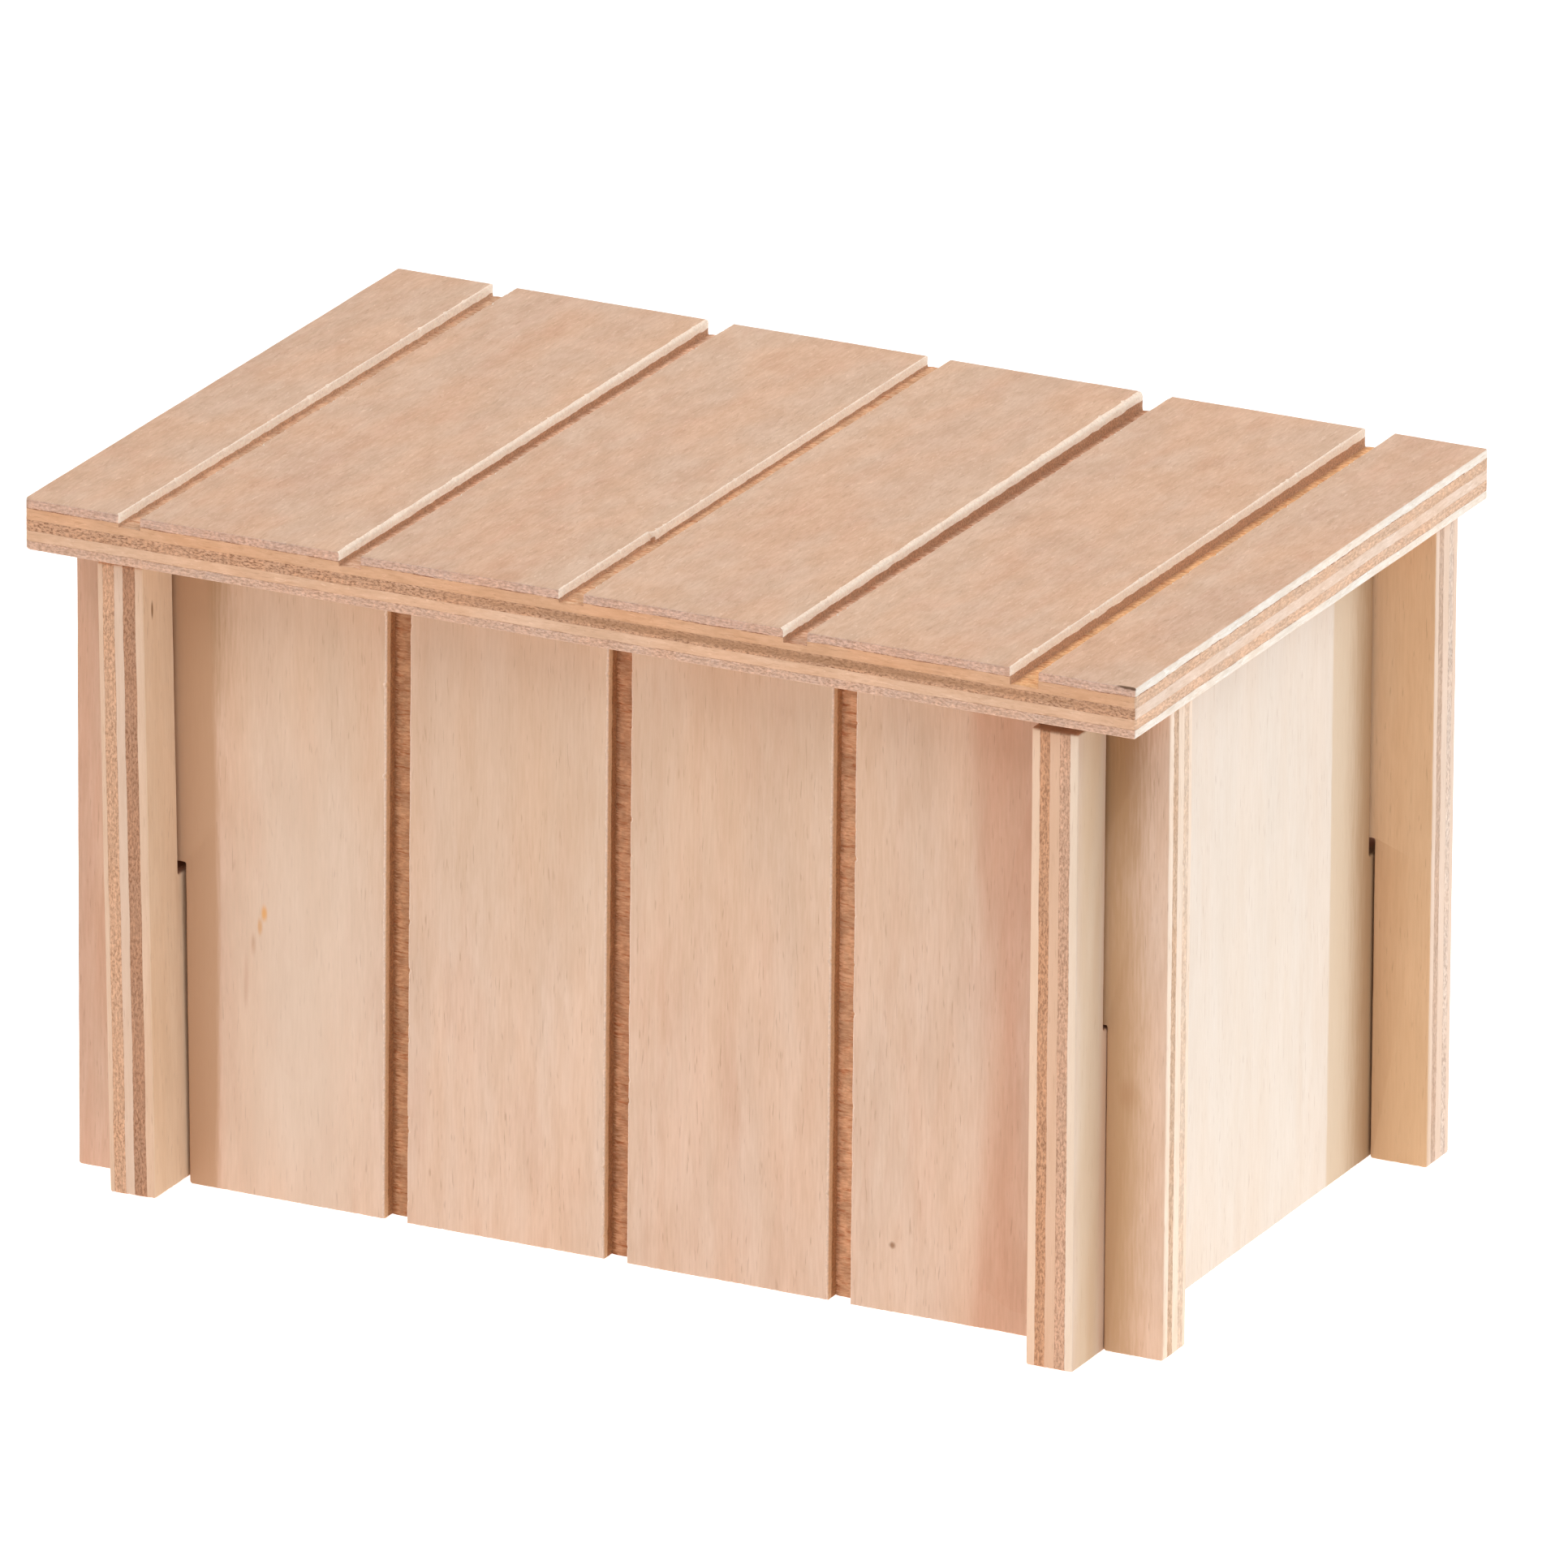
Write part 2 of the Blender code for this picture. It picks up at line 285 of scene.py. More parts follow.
def plywood(
    name,
    thickness,
    plies,
    seed,
    faces,
    edges,
    ends,
    pores,
    figure,
    stripes,
    mottle=1.0,
    straight=1.0,
    pore_lines=0.2,
    flecks=0.0,
    glue_lines=(0.3, 0.3, 0.3, 0.3),
    marks=(),
):
    """Bare sanded plywood, coloured through and through. faces, edges and ends have a colour for each
    ply: as seen on the board's faces, on an edge along the grain and on an edge across it, where pores
    says how strongly its pores show. figure is the colour of the darker figure in the face veneers, and
    stripes say how much of it there is at each distance across the board, in millimetres; near some
    joints the figure is laid on as painted shade. mottle and flecks say how uneven the faces are,
    straight how far their grain is drawn out, pore_lines how dark the pores show on them, and
    glue_lines how dark the glue is between each two plies.
    marks are stains, small flaws and patches of painted shade, each with its place and half size in
    millimetres, the share of it that is at full strength, the strength and the colour."""
    material = bpy.data.materials.new(name)
    material.use_nodes = True
    tree = material.node_tree
    shader = tree.nodes["Principled BSDF"]
    where = put(tree, "TexCoord")
    place = put(tree, "VectorMath", {0: where.outputs["Object"], 3: MILLIMETRES}, operation="SCALE")
    place = place.outputs[0]
    wood = shifted(tree, place, [seed * step for step in SEED_STEPS])
    way = put(tree, "SeparateXYZ", {0: where.outputs["Normal"]})
    across, out, along = (sum_of(tree, "ABSOLUTE", way.outputs[axis]) for axis in range(3))

    wave = drawn_noise(tree, wood, (0.1, 0, 0.1), 1.0, 6.0, 0.55)
    side_place = put(tree, "SeparateXYZ", {0: place})
    depth = sum_of(tree, "MULTIPLY_ADD", side_place.outputs["Y"], 1 / (thickness * MILLIMETRES), 0.5)
    wavy = between(tree, wave, 0.25, 0.75, -PLY_WAVE, PLY_WAVE)
    depth = sum_of(tree, "ADD", depth, wavy)
    crossed = by_ply(tree, depth, plies, [ply % 2 for ply in range(len(plies))])

    def grain(length, scale, detail=2.0, roughness=0.5, distortion=0.0):
        """Noise drawn out along the ply's own grain, so many times longer than wide."""
        stretch = put(
            tree,
            "Mix",
            {0: crossed, 4: (1, 1, 1 / length), 5: (1 / length, 1, 1)},
            data_type="VECTOR",
        ).outputs[1]
        return drawn_noise(tree, wood, stretch, scale, detail, roughness, distortion)

    end_on = put(tree, "Mix", {0: crossed, 2: along, 3: across}, data_type="FLOAT").outputs[0]
    end_on = between(tree, end_on, 0.45, 0.85)
    facing = between(tree, out, 0.55, 0.9)

    patches = grain(6, 0.07, 2.0, 0.5, 0.6)
    stripe_place = sum_of(tree, "MULTIPLY_ADD", side_place.outputs["X"], 1 / STRIPE_SPAN, 0.5)
    wavy = between(tree, patches, 0.2, 0.8, -STRIPE_WAVE, STRIPE_WAVE)
    stripe_place = sum_of(tree, "ADD", stripe_place, wavy)
    stops = [(distance / STRIPE_SPAN + 0.5, share) for distance, share in stripes]
    stripe = ramp(tree, stripe_place, stops, "EASE")
    rings = sum_of(tree, "FRACT", sum_of(tree, "MULTIPLY", grain(7, 0.03, 1.0, 0.4, 0.3), RINGS))
    rings = sum_of(tree, "MULTIPLY", between(tree, rings, 0.3, 1.0), between(tree, patches, 0.42, 0.6))
    streaks = between(tree, grain(16, 0.9, 3.0, 0.6, 0.4), 0.58, 0.78)
    blotches = between(tree, grain(2 * straight, 0.22, 3.0, 0.6), 0.52, 0.7)
    share = sum_of(tree, "MULTIPLY", between(tree, patches, 0.35, 0.68, 0.4, 1.0), stripe)
    share = sum_of(tree, "MULTIPLY_ADD", rings, RING_SHARE * mottle, share)
    share = sum_of(tree, "MULTIPLY_ADD", blotches, BLOTCH_SHARE * mottle, share)
    share = sum_of(tree, "MULTIPLY_ADD", streaks, STREAK_SHARE * mottle, share, clamp=True)
    face = toned(tree, share, by_ply(tree, depth, plies, faces), (*figure, 1))
    tone = toned(tree, facing, by_ply(tree, depth, plies, edges), face)
    tone = toned(tree, end_on, tone, by_ply(tree, depth, plies, ends))

    tint = between(tree, grain(2.2 * straight, 0.15, 3.0, 0.5), 0.3, 0.7)
    tint = toned(tree, tint, WARM, COOL)
    tone = toned(tree, mottle, tone, tint, "MULTIPLY")
    fibres = grain(6 * straight, 3.2, 3.0, 0.6)
    cloud = grain(2 * straight, 0.3, 5.0, 0.7)
    fleck = between(tree, grain(3.5, 2.2, 2.0, 0.7, 0.5), 0.59, 0.69)
    hair = between(tree, grain(4.5, 2.0, 2.0, 0.65, 0.8), 0.29, 0.4, 1.0, 0.0)
    darker, lighter = (1 + change * mottle for change in FIBRE_SHADES)
    shade = between(tree, fibres, 0.3, 0.7, darker, lighter)
    darker, lighter = (1 + change * mottle for change in CLOUD_SHADES)
    cloud = between(tree, cloud, 0.3, 0.7, darker, lighter)
    shade = sum_of(tree, "MULTIPLY", shade, cloud)
    shade = sum_of(tree, "MULTIPLY_ADD", fleck, flecks, shade)
    shade = sum_of(tree, "MULTIPLY_ADD", hair, HAIR_SHADE * flecks, shade)
    bleach = toned(tree, between(tree, shade, 0.88, 1.12), DARK_WARM, LIGHT_COOL)

    specks = drawn_noise(tree, wood, (0.6, 1.3, 0.6), 3.1, 3.0, 0.7)
    layers = drawn_noise(tree, wood, (0.15, 2.2, 0.15), 1.3)
    pits = between(tree, specks, 0.47, 0.66)
    end_shade = between(tree, specks, 0.3, 0.48, 1.2, 1.0)
    end_shade = sum_of(tree, "MULTIPLY", end_shade, between(tree, layers, 0.3, 0.7, 0.92, 1.08))
    shade = put(tree, "Mix", {0: end_on, 2: shade, 3: end_shade}, data_type="FLOAT").outputs[0]
    tone = times(tree, times(tree, tone, bleach), shade)

    dashes = between(tree, grain(12, 4.6, 1.0), 0.65, 0.78, 0.0, pore_lines)
    pitted = sum_of(tree, "MULTIPLY", pits, by_ply(tree, depth, plies, pores))
    pitted = sum_of(tree, "MULTIPLY", pitted, between(tree, wave, 0.35, 0.62, 0.5, 1.15))
    hollow = put(tree, "Mix", {0: end_on, 2: dashes, 3: pitted}, data_type="FLOAT").outputs[0]
    tone = toned(tree, hollow, tone, (*PORE_BROWN, 1))
    # Each mark is a stain, a small flaw or a patch of painted shade, laid over the tone.
    for spot, half_size, core, strength, color in marks:
        ragged = RAGGED_STAIN_AND_SHADE * (1 - core)
        off = between(tree, fibres, 0.3, 0.7, -ragged, ragged)
        off = sum_of(tree, "ADD", far_from(tree, place, spot, half_size), off)
        tone = toned(tree, between(tree, off, core, 1.0, strength, 0.0), tone, (*color, 1))

    stops = [(0, 0)]
    for count, strength in enumerate(glue_lines, 1):
        joint = sum(plies[:count])
        stops += [(joint - GLUE_LINE, strength), (joint + GLUE_LINE, 0)]
    broken = between(tree, grain(2, 0.5, 3.0, 0.7), 0.42, 0.56)
    broken = sum_of(tree, "MULTIPLY", broken, between(tree, specks, 0.3, 0.55, 0.3, 1.0))
    glue = sum_of(tree, "MULTIPLY", ramp(tree, depth, stops), broken)
    tone = toned(tree, glue, tone, (*GLUE_BROWN, 1))
    tree.links.new(tone, shader.inputs["Base Color"])

    ridge = sum_of(tree, "SUBTRACT", fleck, hair)
    fibre_height = sum_of(tree, "MULTIPLY", fibres, FIBRE_HEIGHT)
    ridge = sum_of(tree, "MULTIPLY_ADD", ridge, FLECK_HEIGHT * flecks, fibre_height)
    hole = sum_of(tree, "SUBTRACT", 1.0, pits)
    height = put(tree, "Mix", {0: end_on, 2: ridge, 3: hole}, data_type="FLOAT").outputs[0]
    bump = put(tree, "Bump", {"Height": height, "Strength": 0.6, "Distance": 0.0001})
    tree.links.new(bump.outputs["Normal"], shader.inputs["Normal"])
    tree.links.new(between(tree, fibres, 0.3, 0.7, 0.68, 0.8), shader.inputs["Roughness"])
    shader.inputs["Specular IOR Level"].default_value = 0.2
    return material


STRIPE_SPAN = 160
SEED_STEPS = (31.7, 17.3, 53.9)
PLY_WAVE, STRIPE_WAVE = 0.012, 0.02
RINGS, RING_SHARE, BLOTCH_SHARE, STREAK_SHARE = 22, 0.15, 0.22, 0.17
WARM, COOL = (1.025, 0.988, 0.96, 1), (0.98, 1.007, 1.035, 1)
DARK_WARM, LIGHT_COOL = (1.01, 0.98, 0.945, 1), (0.99, 1.015, 1.05, 1)
FIBRE_SHADES, CLOUD_SHADES = (-0.055, 0.045), (-0.07, 0.06)
HAIR_SHADE = -0.6
FIBRE_HEIGHT, FLECK_HEIGHT = 0.4, 3
GLUE_LINE = 0.009
RAGGED_STAIN_AND_SHADE = 0.08
PORE_BROWN, GLUE_BROWN = (0.26, 0.11, 0.05), (0.33, 0.13, 0.07)
RIGHT_PLIES = (0.168, 0.219, 0.218, 0.208, 0.187)
SLOT_FLOOR, SLOT_FLOOR_RISE = ((-0.0412, -0.001), (-0.0336, -0.001)), 0.0017
right_wall, board_size = sawn_board(
    "right_wall_board",
    "right_wall",
    OUTSIDE_FACE,
    GRAIN_UP,
    RIGHT_PLIES,
    tight=[(*corner, 0, SLOT_FLOOR_RISE) for corner in SLOT_FLOOR],
)
CREAM, CREAM_EDGE, PALE_CORE = (0.805, 0.705, 0.61), (0.853, 0.673, 0.523), (0.758, 0.485, 0.328)
PINK_END, BROWN_END = (0.693, 0.414, 0.275), (0.70, 0.40, 0.25)
right_wall.data.materials.append(
    plywood(
        "pale_plywood",
        board_size.y,
        RIGHT_PLIES,
        seed=1,
        faces=(CREAM, PALE_CORE, PALE_CORE, PALE_CORE, (0.74, 0.50, 0.34)),
        edges=(CREAM_EDGE, PINK_END, PALE_CORE, BROWN_END, (0.857, 0.602, 0.433)),
        ends=(PINK_END, PINK_END, BROWN_END, (0.643, 0.337, 0.191), PINK_END),
        pores=(0.2, 0.45, 0.2, 0.6, 0.2),
        # The figure colour and the stripes near both ends paint the shade beside the joints with the
        # long walls, together with the veneer's own yellower band near the rear.
        figure=(0.64, 0.45, 0.31),
        stripes=((-49, 0.7), (-43, 0.9), (-38, 0.9), (-30, 0.2), (-20, 0.0), (20, 0.0), (26, 0.3)),
        mottle=0.35,
        straight=2.5,
        marks=(
            # Painted shade on the outer face near the rear wall's joint, darkest at the joint.
            ((32, -3.1, 0), (10, 1.5, 400), 0.93, 0.6, (0.65, 0.48, 0.30)),
            ((35.5, -3.1, 0), (10, 1.5, 200), 0.2, 1.0, (0.47, 0.30, 0.17)),
            # Painted shade on the outer tab, where the front wall's tab keeps the light off it, warmer
            # at the joint.
            ((-45.0, -3.1, 0), (4.2, 1.5, 200), 0.4, 0.35, (0.68, 0.50, 0.29)),
            ((-40.4, -3.1, 0), (2.2, 1.5, 200), 0.2, 0.6, (0.66, 0.41, 0.27)),
            # Painted shade on the top edge at the front, in the dark gap under the roof.
            ((-45, 0, 41), (9, 5, 0.8), 0.6, 0.7, (0.22, 0.10, 0.05)),
        ),
    )
)
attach(right_wall, "side_walls")

# Left wall
# The same board as the right wall, of warmer veneers. It stands askew in its slots, with its top
# leaning outwards.

LEFT_PLIES = (0.11, 0.25, 0.195, 0.27, 0.175)
left_wall, board_size = sawn_board("left_wall_board", "left_wall", -OUTSIDE_FACE, GRAIN_UP, LEFT_PLIES)
TAN, TAN_EDGE, DARK_END = (0.86, 0.655, 0.47), (0.771, 0.524, 0.366), (0.517, 0.274, 0.163)
left_wall.data.materials.append(
    plywood(
        "tan_plywood",
        board_size.y,
        LEFT_PLIES,
        seed=2,
        faces=(TAN, TAN, TAN, TAN, TAN),
        edges=(TAN_EDGE, BROWN_END, (0.757, 0.533, 0.392), DARK_END, TAN_EDGE),
        ends=(PINK_END, (0.721, 0.422, 0.264), PINK_END, DARK_END, PINK_END),
        pores=(0.2, 0.5, 0.2, 0.7, 0.2),
        figure=(0.70, 0.49, 0.32),
        stripes=(
            (-49, 0.5), (-42, 0.2), (-31, 0.7), (-22, 0.25), (-12, 0.6), (-2, 0.15),
            (9, 0.5), (20, 0.1), (33, 0.6), (45, 0.2),
        ),
        mottle=0.55,
        straight=2.5,
        pore_lines=0.25,
        marks=(((46.6, 3.1, 34.7), (0.35, 1.0, 1.5), 0.3, 0.85, (0.24, 0.12, 0.05)),),
    )
)
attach(left_wall, "side_walls")

# Front wall
# A five-ply board, pushed down over the side walls with the slots in its bottom edge, which fit tightly.
# A router has cut three grooves in its face to divide it into planks, through the face veneer and into
# the ply behind.

PLANK_PITCH = 0.030
GROOVE_DEPTH = 0.0021
RIM_TURNS = (15, 40, 65, 90)
ROUT_STEP = 0.0003
CHIP = 0.0011
CLEAR = 0.0012
SIDE_STEPS = (0.25, 0.5, 0.75, 0.93)
FLOOR_STEPS = (0.97, 0.86, 0.72, 0.57, 0.43, 0.28, 0.14)
LARGEST_RIM = 0.8
SIDE_FUZZ, SIDE_WAVES, SIDE_ROWS = 0.00004, 0.9, 6
RIM_WAVES, RIM_WANDER = 0.25, 0.6
CHIP_WAVES, CHIP_START = 1.1, 0.3
GROOVES_APART, RIMS_APART = 40, 7
FIBRE_WAVES, TEAR_WAVES, TEAR_DEPTH = (0.6, 2.2), (0.25, 0.8), 0.9
CORNER_SHARE, CORNER_DEPTH = 0.4, 1.6
SHARP_EDGE = math.radians(38)
FRONT_FACE = Vector((0, -1, 0))


def routed(board, size, grooves, finish, torn, seed, nick=None):
    """Grooves along the grain, cut by a router that leaves torn fibres in the floor, a deeper line
    beside each wall of the groove and chipped, rounded rims. Each groove has its place across the board
    at its start and end, its depths and widths there and the radii of its left and right rims. finish is
    the material of the cut surfaces. nick is the number of a groove whose left side steps back where the
    router was set down again, with the step's place along it."""
    mesh_verts, mesh_faces = [], []
    rows = round((size.z + 2 * CLEAR) / ROUT_STEP)
    for number, (start, end, shallow, deep, narrow, wide, *rims) in enumerate(grooves):
        first = len(mesh_verts)
        half = narrow / 2
        side = [(half, -CLEAR, 0)]
        for degrees in RIM_TURNS:
            turn = math.radians(degrees)
            side.append((half, 0, (1 - math.sin(turn), 1 - math.cos(turn))))
        side += [(half, share, None) for share in SIDE_STEPS]
        floor = [(half * share, 1, None) for share in FLOOR_STEPS]
        left = [(-1, point) for point in side + floor]
        profile = left + [(1, (0, 1, None))] + [(1, point) for _, point in reversed(left)]
        for row in range(rows + 1):
            up = (row / rows - 0.5) * (size.z + 2 * CLEAR)
            middle = start + (end - start) * row / rows
            down = shallow + (deep - shallow) * row / rows
            spread = (narrow + (wide - narrow) * row / rows) / narrow
            step_back = 0
            worn = {}
            for hand, rim in zip((-1, 1), rims):
                at = Vector((middle * GROOVES_APART + hand * RIMS_APART, seed, up * MILLIMETRES))
                wander = noise.noise(Vector((at.x, at.y, at.z * RIM_WAVES)))
                chip = noise.noise(Vector((at.x, at.y + 5, at.z * CHIP_WAVES)))
                worn[hand] = rim * (1 + RIM_WANDER * wander) + CHIP * max(0, chip - CHIP_START)
            if nick and nick[0] == number:
                step_back = NICK_STEP * min(1, max(0, (nick[1] - up) / NICK_HALF))
            worn = {hand: min(radius, down * LARGEST_RIM) for hand, radius in worn.items()}
            for hand, (across, depth, corner) in profile:
                at = Vector(((middle + hand * across) * MILLIMETRES, seed, up * MILLIMETRES))
                if corner:
                    across += worn[hand] * corner[0]
                    depth = worn[hand] * corner[1]
                elif corner == 0:
                    across = half + worn[hand] * (1 - math.sin(math.radians(RIM_TURNS[0])))
                elif across < half:
                    fibre = noise.noise(Vector((at.x * FIBRE_WAVES[0], at.y, at.z * FIBRE_WAVES[1])))
                    tear = noise.noise(Vector((at.x * TEAR_WAVES[0], at.y + 9, at.z * TEAR_WAVES[1])))
                    beside = max(0, 1 - (half - across) / (half * CORNER_SHARE))
                    depth = down + torn * (fibre + TEAR_DEPTH * tear + CORNER_DEPTH * beside)
                else:
                    strand = noise.noise(Vector((hand * 3, depth * SIDE_ROWS, at.z * SIDE_WAVES)))
                    across += SIDE_FUZZ * strand
                    depth = worn[hand] + (down - worn[hand]) * depth
                across = across * spread + (step_back * across / half if hand < 0 else 0)
                mesh_verts.append((middle + hand * across, depth - size.y / 2, up))
        count = len(profile)
        mesh_faces.append([first + point for point in range(count)])
        mesh_faces.append([first + rows * count + point for point in reversed(range(count))])
        for row in range(rows):
            for point in range(count):
                a = first + row * count + point
                b = first + row * count + (point + 1) % count
                mesh_faces.append((b, a, a + count, b + count))
    mesh = bpy.data.meshes.new(board.name + "_router_path")
    mesh.from_pydata(mesh_verts, [], mesh_faces)
    mesh.shade_smooth()
    mesh.materials.append(finish)
    path = bpy.data.objects.new(mesh.name, mesh)
    path.matrix_world = board.matrix_world
    bpy.context.scene.collection.objects.link(path)
    cut = board.modifiers.new("grooves", "BOOLEAN")
    cut.operation, cut.solver, cut.material_mode = "DIFFERENCE", "EXACT", "TRANSFER"
    cut.object = path
    graph = bpy.context.evaluated_depsgraph_get()
    board.data = bpy.data.meshes.new_from_object(board.evaluated_get(graph))
    board.modifiers.clear()
    bpy.data.objects.remove(path)
    board.data.set_sharp_from_angle(angle=SHARP_EDGE)


DEEP_FIBRE, BARE_FIBRE = (0.80, 0.68, 0.60, 1), (1.14, 1.20, 1.22, 1)
CRACK = (0.80, 0.60, 0.50, 1)
BROKEN_HALF_SIZE = (0.0009, 0.0004, 0.0005)
GROOVE_SEED_STEPS = (0, 7.1, 3.3)
VENEER_WAVE, VENEER_BLUR = 0.12, 0.04
RAGGED_SCORCH_AND_SHADE = 0.4


def routed_wood(
    name,
    size,
    face_ply,
    grooves,
    seed,
    floors,
    rim,
    side,
    lower_side,
    scorch_and_shade,
    scorched_and_shaded,
    corner_width,
    broken=None,
):
    """The raw surfaces in a groove. The upper part of each side is the cut edge of the face veneer, the
    rest is end grain of the ply behind, which also makes the floor of torn fibres. floors is the colour
    of each groove's floor, and scorched_and_shaded says how far the lower side and the floor beside the
    left side are darkened towards scorch_and_shade over the corner's width: partly the router's
    scorching, partly painted shade in the corner. broken is a place where the face veneer has broken
    out of the side."""
    material = bpy.data.materials.new(name)
    material.use_nodes = True
    tree = material.node_tree
    shader = tree.nodes["Principled BSDF"]
    where = put(tree, "TexCoord")
    place = put(tree, "VectorMath", {0: where.outputs["Object"], 3: MILLIMETRES}, operation="SCALE")
    parts = put(tree, "SeparateXYZ", {0: place.outputs[0]})
    place = shifted(tree, place.outputs[0], [seed * step for step in GROOVE_SEED_STEPS])
    fibres = drawn_noise(tree, place, (0.5, 1, 2.2), 1.6, 4.0, 0.7, 0.5)
    cracks = drawn_noise(tree, place, (0.3, 1, 2.4), 1.1, 3.0, 0.6, 0.3)
    patch = drawn_noise(tree, place, (0.5, 1, 0.35), 1.0, 3.0, 0.6)
    strands = drawn_noise(tree, place, (1, 1, 0.35), 3.0, 3.0, 0.6)
    specks = drawn_noise(tree, place, (1, 1, 1), 3.6, 2.0, 0.6)

    pitch = PLANK_PITCH * MILLIMETRES
    width = grooves[0][4] * MILLIMETRES
    from_middle = sum_of(tree, "WRAP", parts.outputs["X"], pitch / 2, -pitch / 2)
    from_left = sum_of(tree, "ADD", from_middle, width / 2)
    by_groove = sum_of(tree, "MULTIPLY_ADD", parts.outputs["X"], 1 / STRIPE_SPAN, 0.5)

    starts = [(groove[0] * MILLIMETRES - pitch / 2) / STRIPE_SPAN + 0.5 for groove in grooves]
    down = sum_of(tree, "ADD", parts.outputs["Y"], size.y * MILLIMETRES / 2)
    veneer = face_ply * size.y * MILLIMETRES
    ragged = between(tree, patch, 0.2, 0.8, -VENEER_WAVE, VENEER_WAVE)
    ragged = sum_of(tree, "ADD", down, ragged)
    below = between(tree, ragged, veneer - VENEER_BLUR, veneer + VENEER_BLUR)
    way = put(tree, "SeparateXYZ", {0: where.outputs["Normal"]})
    level = between(tree, sum_of(tree, "ABSOLUTE", way.outputs["Y"]), 0.35, 0.75)
    on_floor = sum_of(tree, "MULTIPLY", level, between(tree, down, veneer * 0.7, veneer))
    on_rim = between(tree, down, 0.1, 0.35, 1.0, 0.0)

    # Painted shade, partly the router's scorching: the lower side and the floor beside the left side are
    # laid darker.
    scorch_and_shade_level = ramp(tree, by_groove, zip(starts, scorched_and_shaded))
    scorch_and_shade_level = sum_of(tree, "MULTIPLY", scorch_and_shade_level, between(tree, patch, 0.3, 0.6, 0.75, 1.0))
    corner = between(tree, fibres, 0.3, 0.7, -RAGGED_SCORCH_AND_SHADE, RAGGED_SCORCH_AND_SHADE)
    corner = sum_of(tree, "ADD", from_left, corner)
    dark = sum_of(tree, "MULTIPLY", scorch_and_shade_level, between(tree, corner, 0.1, corner_width, 1.0, 0.0))
    floor = toned(tree, dark, ramp(tree, by_groove, zip(starts, floors)), (*scorch_and_shade, 1))
    floor = times(tree, floor, toned(tree, between(tree, fibres, 0.3, 0.7), DEEP_FIBRE, BARE_FIBRE))
    floor = times(tree, floor, between(tree, patch, 0.35, 0.65, 0.86, 1.12))
    floor = times(tree, floor, toned(tree, between(tree, cracks, 0.34, 0.44), CRACK, (1, 1, 1, 1)))
    upper = toned(tree, on_rim, (*side, 1), (*rim, 1))
    upper = times(tree, upper, between(tree, strands, 0.3, 0.7, 0.95, 1.05))
    upper = times(tree, upper, between(tree, specks, 0.35, 0.65, 0.93, 1.08))
    lower = toned(tree, scorch_and_shade_level, (*lower_side, 1), (*scorch_and_shade, 1))
    lower = times(tree, lower, between(tree, specks, 0.35, 0.65, 1.15, 0.8))
    tone = toned(tree, on_floor, toned(tree, below, upper, lower), floor)
    if broken:
        off = far_from(tree, where.outputs["Object"], broken, BROKEN_HALF_SIZE)
        tone = toned(tree, between(tree, off, 0.7, 1.0, 0.9, 0.0), tone, (*scorch_and_shade, 1))
    tree.links.new(tone, shader.inputs["Base Color"])
    bump = put(tree, "Bump", {"Height": fibres, "Strength": 0.8, "Distance": 0.00015})
    tree.links.new(bump.outputs["Normal"], shader.inputs["Normal"])
    shader.inputs["Roughness"].default_value = 0.85
    shader.inputs["Specular IOR Level"].default_value = 0.15
    return material


ROSE, ROSE_FIGURE, PALE_EDGE = (0.76, 0.54, 0.402), (0.66, 0.39, 0.27), (0.88, 0.71, 0.57)
WALL_BACK = (0.74, 0.50, 0.34)
FRONT_PLIES = (0.18, 0.20, 0.26, 0.20, 0.16)
RIGHT_SLOT_SIDE, RIGHT_SIDE_MOVE = ((0.0662, 0.0002), (0.0662, -0.0416)), -0.00024
LEFT_SLOT_CORNER, LEFT_CORNER_MOVE = (-0.0586, 0.0002), -0.0005
front_wall, board_size = sawn_board(
    "front_wall_board",
    "front_wall",
    FRONT_FACE,
    GRAIN_UP,
    FRONT_PLIES,
    tight=[
        *[(*corner, RIGHT_SIDE_MOVE, 0) for corner in RIGHT_SLOT_SIDE],
        (*LEFT_SLOT_CORNER, LEFT_CORNER_MOVE, 0),
    ],
)
